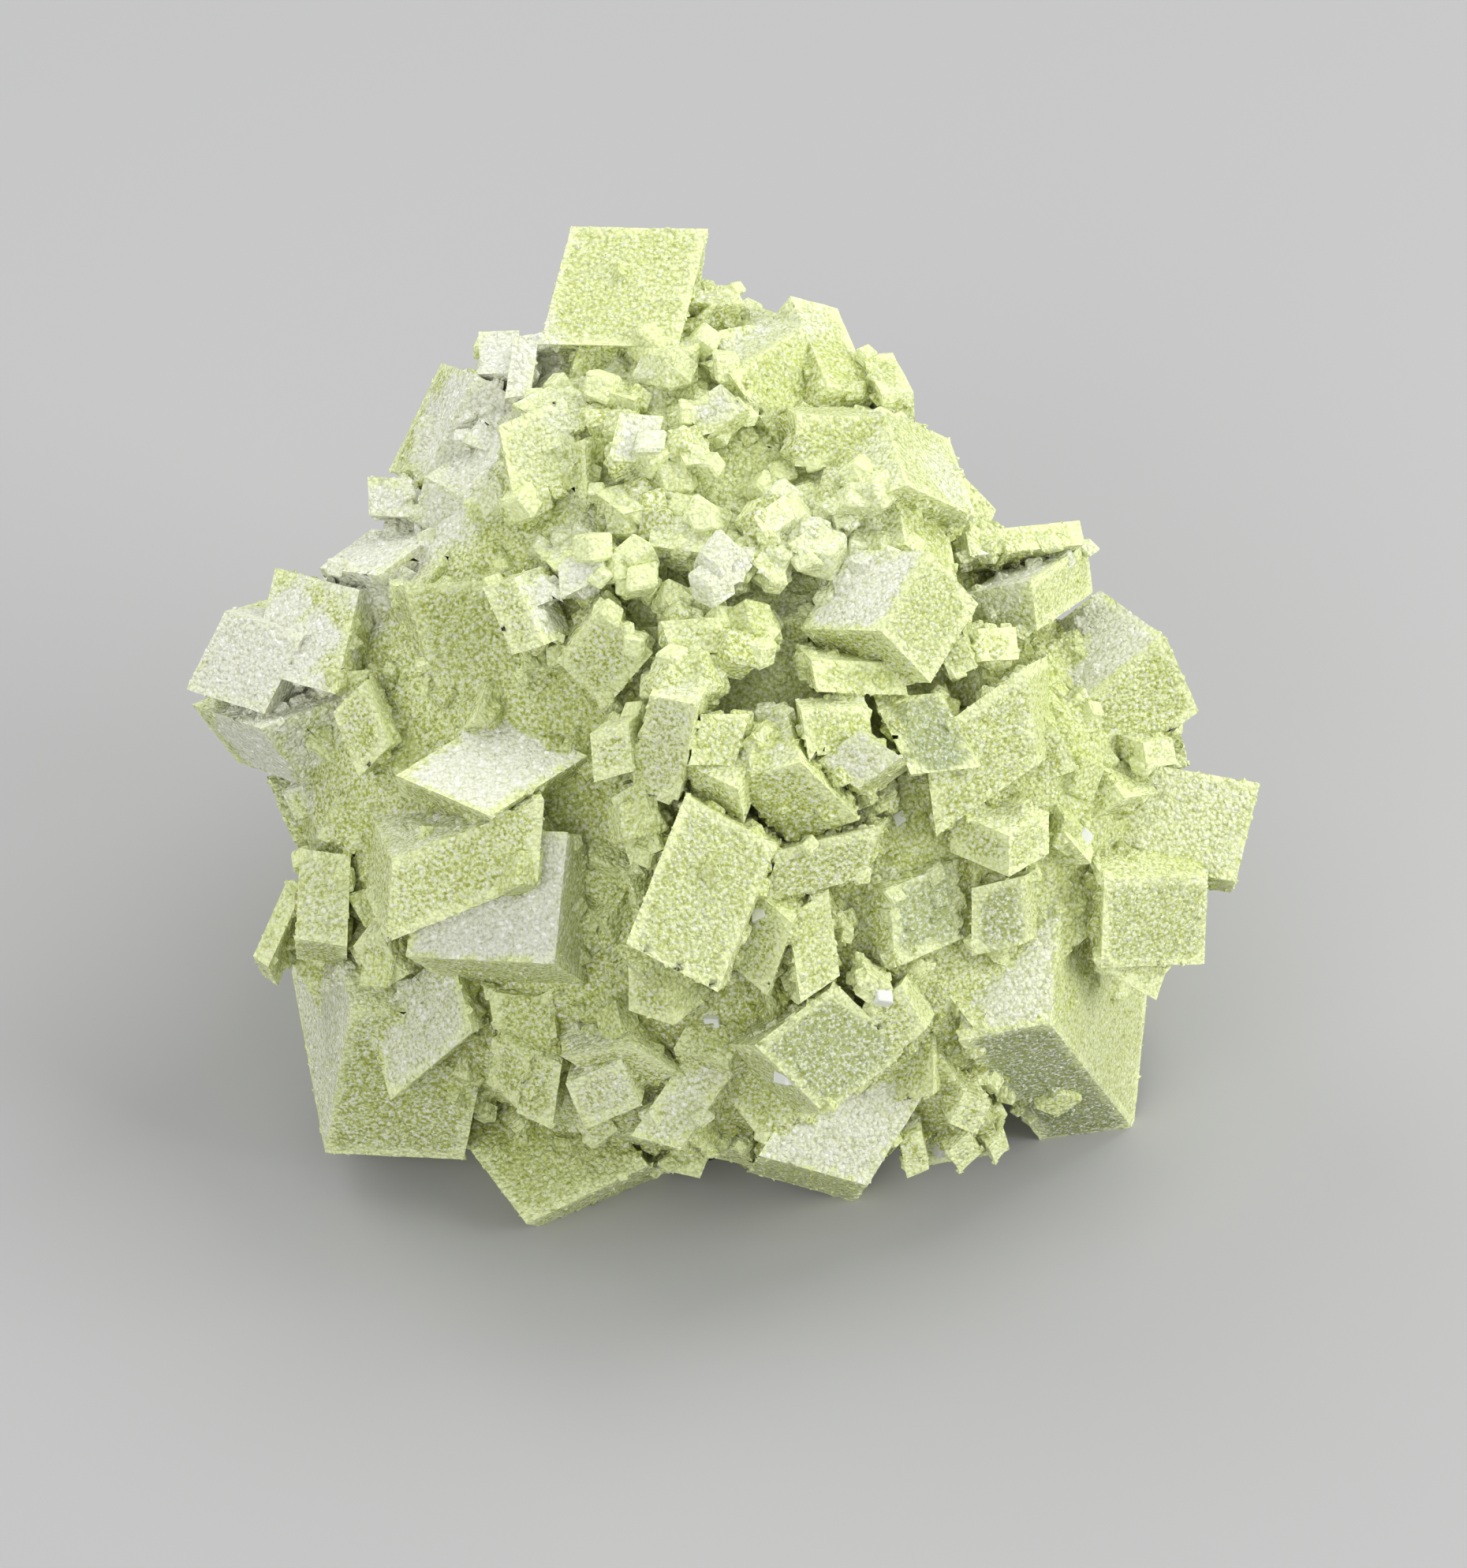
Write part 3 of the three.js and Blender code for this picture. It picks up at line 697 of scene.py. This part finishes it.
def face_numbers(bare, tree, groups):
    """For each flat face of the solid: its tone, how far it turns from the lamps for painted flecks,
    its frosting with painted light and shade, and if it is core.
    """
    faces = bare.data.polygons
    count = groups.max() + 1
    areas = np.bincount(groups, [face.area for face in faces])
    core = np.clip((CORE_FACE - areas) / CORE_FACE * CORE_FALL, 0, 1)
    tone = np.random.default_rng(TONE_SEED).random(count)
    coarse, frost = np.zeros(count), np.zeros(count)
    for face, number in zip(faces, groups):
        # faces turned from the lamps get stronger painted flecks
        coarse[number] = climb(face.normal.dot(LIT_WAY), UNLIT_FROM, UNLIT_TO)
        # frosting and painted sheen on faces that look up toward the lamps
        frost[number] = UPWARD_FROST_AND_SHEEN * climb(face.normal.dot(FROST_AND_SHEEN_WAY), FROST_AND_SHEEN_FROM, FROST_AND_SHEEN_TO)
    for name, (pixel, white) in FACE_FROST_AND_LIGHT.items():
        frost[groups[seat_of(tree, pixel, name)[2]]] = white
    return tone, coarse, frost, core


def frost_and_light_number(point, white, places):
    """The frosting and painted light of a point: that of its face, or more where a pale place is near.
    """
    ragged = noise.noise(point / RAGGED_SIZE)
    for place, reach, strength in places:
        near = 1.0 - (point - place).length / reach
        pale = PALE_RISE * near + PALE_RAGGEDNESS * ragged * (near > 0)
        white = max(white, strength * min(1.0, pale))
    return white


class SPECIMEN_OT_crust(bpy.types.Operator):
    """Covers the crystal cluster with an uneven crust of duftite"""

    bl_idname = "specimen.crust"
    bl_label = "Crust"

    def execute(self, context):
        settings = context.scene.specimen_crust
        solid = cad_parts[CLUSTER]
        make_active(solid)
        bpy.ops.object.duplicate()
        crust = context.active_object
        crust.name = crust.data.name = "duftite_crust"
        bare = self.merge(crust)
        self.grow(crust, settings)
        self.colour_numbers(crust, bare)
        bpy.data.objects.remove(bare)
        make_active(crust)
        bpy.ops.object.shade_smooth_by_angle(angle=math.radians(38))
        finish_piece(crust, crust_material(settings))
        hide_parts(CLUSTER)
        return {"FINISHED"}

    def merge(self, crust):
        """Merges the loose triangles, and keeps a copy with the flat faces."""
        make_active(crust)
        bpy.ops.object.mode_set(mode="EDIT")
        bpy.ops.mesh.select_all(action="SELECT")
        bpy.ops.mesh.remove_doubles(threshold=0.001 * MM)
        bpy.ops.object.mode_set(mode="OBJECT")
        bpy.ops.object.duplicate()
        return bpy.context.active_object

    def grow(self, crust, settings):
        """Divides the surface evenly and makes it uneven, but keeps the base flat."""
        even = crust.modifiers.new("Even", "REMESH")
        even.mode = "SHARP"
        even.octree_depth = 8
        even.scale = settings.octree_scale
        even.sharpness = 1.0
        even.use_remove_disconnected = True
        even.threshold = 0.05
        apply_modifier(crust, even)
        raised = crust.vertex_groups.new(name="Raised")
        raised.add([v.index for v in crust.data.vertices if v.co.z > BASE_BAND], 1.0, "REPLACE")
        swell = bpy.data.textures.new("Swell", "CLOUDS")
        swell.noise_scale = settings.wave_size
        swell.noise_depth = 3
        uneven = crust.modifiers.new("Uneven", "DISPLACE")
        uneven.texture = swell
        uneven.texture_coords = "LOCAL"
        uneven.strength = settings.wave
        uneven.mid_level = 0.5
        uneven.vertex_group = raised.name
        apply_modifier(crust, uneven)
        crust.vertex_groups.clear()
        for vertex in crust.data.vertices:
            vertex.co.z = 0.0 if vertex.co.z < BASE_BAND else vertex.co.z

    def colour_numbers(self, crust, bare):
        """Keeps for each vertex what the material and the scattered crystals need to know of it."""
        mesh = crust.data
        tree = tree_of(bare)
        groups = flat_groups(bare)
        tone, coarse, white, core = face_numbers(bare, tree, groups)
        pale, crumbs, lumps = (seats(tree, p) for p in (PALE_PLACES, CRUMB_PLACES, LUMP_PLACES))
        points = [vertex.co for vertex in mesh.vertices]
        faces = np.array([groups[tree.find_nearest(point)[2]] for point in points])
        heights = np.array([point.z for point in points])
        lump = np.array([nearness(point, lumps) for point in points])
        hollow = hollow_numbers(mesh, tree)
        # painted shade in hollows, darker toward the foot
        shade = hollow * (FOOT_SHADE - SHADE_FALL * heights / heights.max())
        crowd = np.maximum(core[faces], [nearness(point, crumbs) for point in points])
        crowd = np.maximum(crowd, np.clip((hollow - CRUMB_HOLLOW) / CRUMB_HOLLOW, 0, 1))
        crowd = np.clip(crowd + lump * (hollow > LUMP_HOLLOW), 0, 1)
        numbers = {
            "rim": np.clip(bend_numbers(mesh), 0, 1),
            "hollow": shade * (1.0 - LUMP_CLEARNESS * lump),
            "crowd": crowd * (heights > CRUMB_FLOOR),
            "open": heights > GRAIN_FLOOR,
            "lump": lump,
            "frost": [frost_and_light_number(point, white[face], pale) for point, face in zip(points, faces)],
            "coarse": coarse[faces],
            "tone": tone[faces],
        }
        for name, values in numbers.items():
            point_attribute(mesh, name, values)


class Scatter(NamedTuple):
    """How copies of one crystal are scattered over the crust"""

    spacing: float
    sizes: tuple
    sunk: float  # how deep a crystal's middle lies, as a share of its size
    lie: tuple
    seed: int
    weight: str  # the vertex number that says where they grow
    swollen: str = ""  # the vertex number that says where they are larger


def scatter_nodes(name, seed_crystal, how, material):
    """Geometry nodes that set copies of one crystal on a surface, each with a turn and size."""
    tree = bpy.data.node_groups.new(name, "GeometryNodeTree")
    tree.interface.new_socket("Geometry", in_out="INPUT", socket_type="NodeSocketGeometry")
    tree.interface.new_socket("Geometry", in_out="OUTPUT", socket_type="NodeSocketGeometry")
    nodes = Nodes(tree)
    surface = nodes.add("NodeGroupInput").outputs["Geometry"]
    method = {"distribute_method": "POISSON"}
    points = nodes.add("GeometryNodeDistributePointsOnFaces", method, Mesh=surface, Seed=how.seed)
    nodes.set(points, "Distance Min", how.spacing)
    nodes.set(points, "Density Max", CROWDING / how.spacing**2)
    nodes.set(points, "Density Factor", nodes.vertex_number(how.weight))
    middle, spread = how.lie
    turn = nodes.add("FunctionNodeRandomValue", {"data_type": "FLOAT_VECTOR"}, Seed=how.seed)
    nodes.set(turn, "Min", [angle - spread for angle in middle])
    nodes.set(turn, "Max", [angle + spread for angle in middle])
    turned = nodes.add("FunctionNodeEulerToRotation", Euler=turn.outputs["Value"])
    size = nodes.add("FunctionNodeRandomValue", {"data_type": "FLOAT"}, Seed=how.seed + 1)
    size.inputs[2].default_value, size.inputs[3].default_value = how.sizes
    width = size.outputs[1]
    if how.swollen:
        growth = nodes.math("ADD", nodes.vertex_number(how.swollen), 1.0)
        width = nodes.math("MULTIPLY", width, growth)
    fall = nodes.vector("SCALE", points.outputs["Normal"])
    nodes.set(fall, "Scale", nodes.share(width, -how.sunk))
    sunk_points = nodes.add("GeometryNodeSetPosition", Geometry=points.outputs["Points"])
    nodes.set(sunk_points, "Offset", fall.outputs[0])
    crystal = nodes.add("GeometryNodeObjectInfo", Object=seed_crystal)
    copies = nodes.add("GeometryNodeInstanceOnPoints", Points=sunk_points.outputs["Geometry"])
    nodes.set(copies, "Instance", crystal.outputs["Geometry"])
    nodes.set(copies, "Rotation", turned.outputs["Rotation"])
    nodes.set(copies, "Scale", width)
    real = nodes.add("GeometryNodeRealizeInstances", Geometry=copies.outputs["Instances"])
    dressed = nodes.add("GeometryNodeSetMaterial", Geometry=real.outputs["Geometry"])
    nodes.set(dressed, "Material", material)
    nodes.set(nodes.add("NodeGroupOutput"), "Geometry", dressed.outputs["Geometry"])
    return tree


def scatter_on_crust(name, seed_crystal, how):
    """A piece of many crystals, joined in one mesh, on the crust."""
    crust = bpy.data.objects["duftite_crust"]
    material = crust.data.materials[0]
    make_active(crust)
    bpy.ops.object.duplicate()
    piece = bpy.context.active_object
    piece.name = piece.data.name = name
    scatter = piece.modifiers.new("Scatter", "NODES")
    scatter.node_group = scatter_nodes(name, seed_crystal, how, material)
    apply_modifier(piece, scatter)
    bpy.data.objects.remove(seed_crystal)
    bpy.ops.object.shade_flat()
    finish_piece(piece, material)


def grain_crystal():
    """One duftite grain: a stubby bipyramid."""
    deselect_all()
    bpy.ops.mesh.primitive_circle_add(vertices=4, radius=GRAIN_WAIST, fill_type="NOTHING")
    bpy.ops.object.mode_set(mode="EDIT")
    bpy.ops.mesh.extrude_region_move(TRANSFORM_OT_translate={"value": (0.0, 0.0, GRAIN_TIP)})
    bpy.ops.mesh.merge(type="CENTER")
    bpy.ops.mesh.select_all(action="SELECT")
    bpy.ops.mesh.symmetrize(direction="POSITIVE_Z")
    bpy.ops.mesh.normals_make_consistent()
    bpy.ops.object.mode_set(mode="OBJECT")
    return bpy.context.active_object


def rhomb_crystal(worn):
    """One cleavage rhomb with worn edges: a cube of one unit, pressed along its diagonal."""
    deselect_all()
    bpy.ops.mesh.primitive_cube_add(size=1.0)
    bpy.ops.object.mode_set(mode="EDIT")
    bpy.ops.transform.rotate(value=math.pi / 4, orient_axis="Z", center_override=(0, 0, 0))
    bpy.ops.transform.rotate(value=CUBE_DIAGONAL_TILT, orient_axis="X", center_override=(0, 0, 0))
    bpy.ops.transform.resize(value=(1.0, 1.0, CLEAVAGE_PRESS), center_override=(0, 0, 0))
    bpy.ops.mesh.bevel(offset=worn, segments=1, affect="EDGES")
    bpy.ops.object.mode_set(mode="OBJECT")
    return bpy.context.active_object


class SPECIMEN_OT_grains(bpy.types.Operator):
    """Scatters duftite grains over the crust"""

    bl_idname = "specimen.grains"
    bl_label = "Grains"

    def execute(self, context):
        settings = context.scene.specimen_grains
        how = Scatter(
            spacing=settings.spacing,
            sizes=(settings.smallest, settings.largest),
            sunk=0.35,
            lie=ANY_LIE,
            seed=settings.seed,
            weight="open",
        )
        scatter_on_crust("duftite_grains", grain_crystal(), how)
        return {"FINISHED"}


class SPECIMEN_OT_gap_crystals(bpy.types.Operator):
    """Grows small rhombs in the gaps between the crystals"""

    bl_idname = "specimen.gap_crystals"
    bl_label = "Gap crystals"

    def execute(self, context):
        settings = context.scene.specimen_grains
        how = Scatter(
            spacing=settings.gap_spacing,
            sizes=(settings.gap_smallest, settings.gap_largest),
            sunk=0.25,
            lie=COMMON_LIE,
            seed=settings.seed + 2,
            weight="crowd",
            swollen="lump",
        )
        scatter_on_crust("gap_crystals", rhomb_crystal(CRUMB_WEAR), how)
        return {"FINISHED"}


def seated_crystals(name, places, seed):
    """A piece of single rhombs, each sunk into the crust at its place in the photograph."""
    crust = bpy.data.objects["duftite_crust"]
    tree = tree_of(crust)
    chance = np.random.default_rng(seed)
    rhombs = []
    for label, (pixel, edge) in places.items():
        place, normal, _ = seat_of(tree, pixel, label)
        rhomb = rhomb_crystal(RHOMB_WEAR)
        turn = Euler(chance.uniform(-math.pi, math.pi, 3)).to_matrix().to_4x4()
        seat = Matrix.Translation(place - normal * RHOMB_SUNK * edge * MM)
        rhomb.data.transform(seat @ turn @ Matrix.Scale(edge * MM, 4))
        rhombs.append(rhomb)
    make_active(rhombs[0])
    for rhomb in rhombs:
        rhomb.select_set(True)
    bpy.ops.object.join()
    piece = bpy.context.active_object
    piece.name = piece.data.name = name
    return piece


def clear_rhomb_material():
    """Clear, faintly milky calcite."""
    material = bpy.data.materials.new("Clear rhomb")
    material.use_nodes = True
    nodes = Nodes(material.node_tree)
    shader = material.node_tree.nodes["Principled BSDF"]
    place = nodes.add("ShaderNodeTexCoord").outputs["Object"]
    cloud = nodes.noise(place, scale=1500.0, detail=3.0, roughness=0.5)
    milk = nodes.mix(cloud, (0.97, 0.98, 0.95, 1.0), (0.86, 0.88, 0.80, 1.0))
    nodes.set(shader, "Base Color", milk)
    nodes.set(shader, "Roughness", nodes.share(cloud, 0.3))
    nodes.set(shader, "Transmission Weight", 0.2)
    nodes.set(shader, "IOR", 1.6)
    return material


class SPECIMEN_OT_clear_rhombs(bpy.types.Operator):
    """Sets single clear rhombs on the crust"""

    bl_idname = "specimen.clear_rhombs"
    bl_label = "Clear rhombs"

    def execute(self, context):
        seed = context.scene.specimen_grains.seed
        piece = seated_crystals("clear_rhombs", CLEAR_RHOMBS, seed + 4)
        finish_piece(piece, clear_rhomb_material())
        return {"FINISHED"}


class SPECIMEN_OT_face_nubs(bpy.types.Operator):
    """Sets crusted nubs on the larger faces"""

    bl_idname = "specimen.face_nubs"
    bl_label = "Face nubs"

    def execute(self, context):
        seed = context.scene.specimen_grains.seed
        material = bpy.data.objects["duftite_crust"].data.materials[0]
        finish_piece(seated_crystals("face_nubs", FACE_NUBS, seed + 5), material)
        return {"FINISHED"}


class SPECIMEN_OT_stage(bpy.types.Operator):
    """Sets up the floor, the lights and the camera"""

    bl_idname = "specimen.stage"
    bl_label = "Stage"

    def execute(self, context):
        settings = context.scene.specimen_stage
        self.floor(settings)
        for name, (place, size, power) in LAMPS.items():
            self.light(name, place, size, getattr(settings, power))
        self.surroundings(context.scene)
        self.camera(context.scene)
        return {"FINISHED"}

    def floor(self, settings):
        """A plain pale floor."""
        deselect_all()
        bpy.ops.mesh.primitive_plane_add(size=settings.floor_size, location=(0, 0, 0))
        floor = bpy.context.active_object
        floor.name = "Floor"
        material = bpy.data.materials.new("Pale floor")
        material.use_nodes = True
        shader = material.node_tree.nodes["Principled BSDF"]
        shader.inputs["Base Color"].default_value = colour(settings.floor_colour)
        shader.inputs["Roughness"].default_value = 0.9
        shader.inputs["Specular IOR Level"].default_value = 0.2
        floor.data.materials.append(material)

    def light(self, name, place, size, power):
        """A soft square light that faces the specimen, its place and side in mm."""
        data = bpy.data.lights.new(name, "AREA")
        data.energy = power
        data.size = size * MM
        lamp = bpy.data.objects.new(name, data)
        lamp.location = Vector(place) * MM
        lamp.rotation_euler = (AIM - lamp.location).to_track_quat("-Z", "Y").to_euler()
        bpy.context.scene.collection.objects.link(lamp)

    def surroundings(self, scene):
        """Even, soft light from all round."""
        world = bpy.data.worlds.new("Studio")
        world.use_nodes = True
        background = world.node_tree.nodes["Background"]
        background.inputs["Color"].default_value = (0.95, 0.97, 1.0, 1.0)
        background.inputs["Strength"].default_value = 0.47
        scene.world = world
        scene.view_settings.view_transform = "Standard"

    def camera(self, scene):
        """The photograph's eye."""
        data = bpy.data.cameras.new("Camera")
        data.sensor_fit = "VERTICAL"
        half_height = PICTURE[1] / PIXELS_PER_METRE / 2
        data.lens = data.sensor_height / 2 * EYE_DISTANCE / half_height
        data.clip_start = 10 * MM
        camera = bpy.data.objects.new("Camera", data)
        camera.matrix_world = Matrix.Translation(EYE) @ Matrix(
            (SIGHT_RIGHT, SIGHT_UP, SIGHT_BACK)
        ).transposed().to_4x4()
        scene.collection.objects.link(camera)
        scene.camera = camera


class SPECIMEN_PT_panel(bpy.types.Panel):
    """Lists the steps that make the specimen"""

    bl_idname = "SPECIMEN_PT_panel"
    bl_label = "Duftite specimen"
    bl_space_type = "VIEW_3D"
    bl_region_type = "UI"
    bl_category = "Duftite"

    def draw(self, context):
        for step in STEPS:
            self.layout.operator(step.bl_idname)


STEPS = (
    SPECIMEN_OT_crust,
    SPECIMEN_OT_gap_crystals,
    SPECIMEN_OT_grains,
    SPECIMEN_OT_clear_rhombs,
    SPECIMEN_OT_face_nubs,
    SPECIMEN_OT_stage,
)
SETTINGS = {
    "specimen_crust": CrustSettings,
    "specimen_grains": GrainSettings,
    "specimen_stage": StageSettings,
}


def register():
    for name, settings in SETTINGS.items():
        bpy.utils.register_class(settings)
        setattr(bpy.types.Scene, name, bpy.props.PointerProperty(type=settings))
    for part in (*STEPS, SPECIMEN_PT_panel):
        bpy.utils.register_class(part)


def unregister():
    for part in (SPECIMEN_PT_panel, *reversed(STEPS)):
        bpy.utils.unregister_class(part)
    for name, settings in SETTINGS.items():
        delattr(bpy.types.Scene, name)
        bpy.utils.unregister_class(settings)


def main():
    register()
    bpy.ops.specimen.crust()
    bpy.ops.specimen.gap_crystals()
    bpy.ops.specimen.grains()
    bpy.ops.specimen.clear_rhombs()
    bpy.ops.specimen.face_nubs()
    bpy.ops.specimen.stage()


if __name__ == "__main__":
    main()
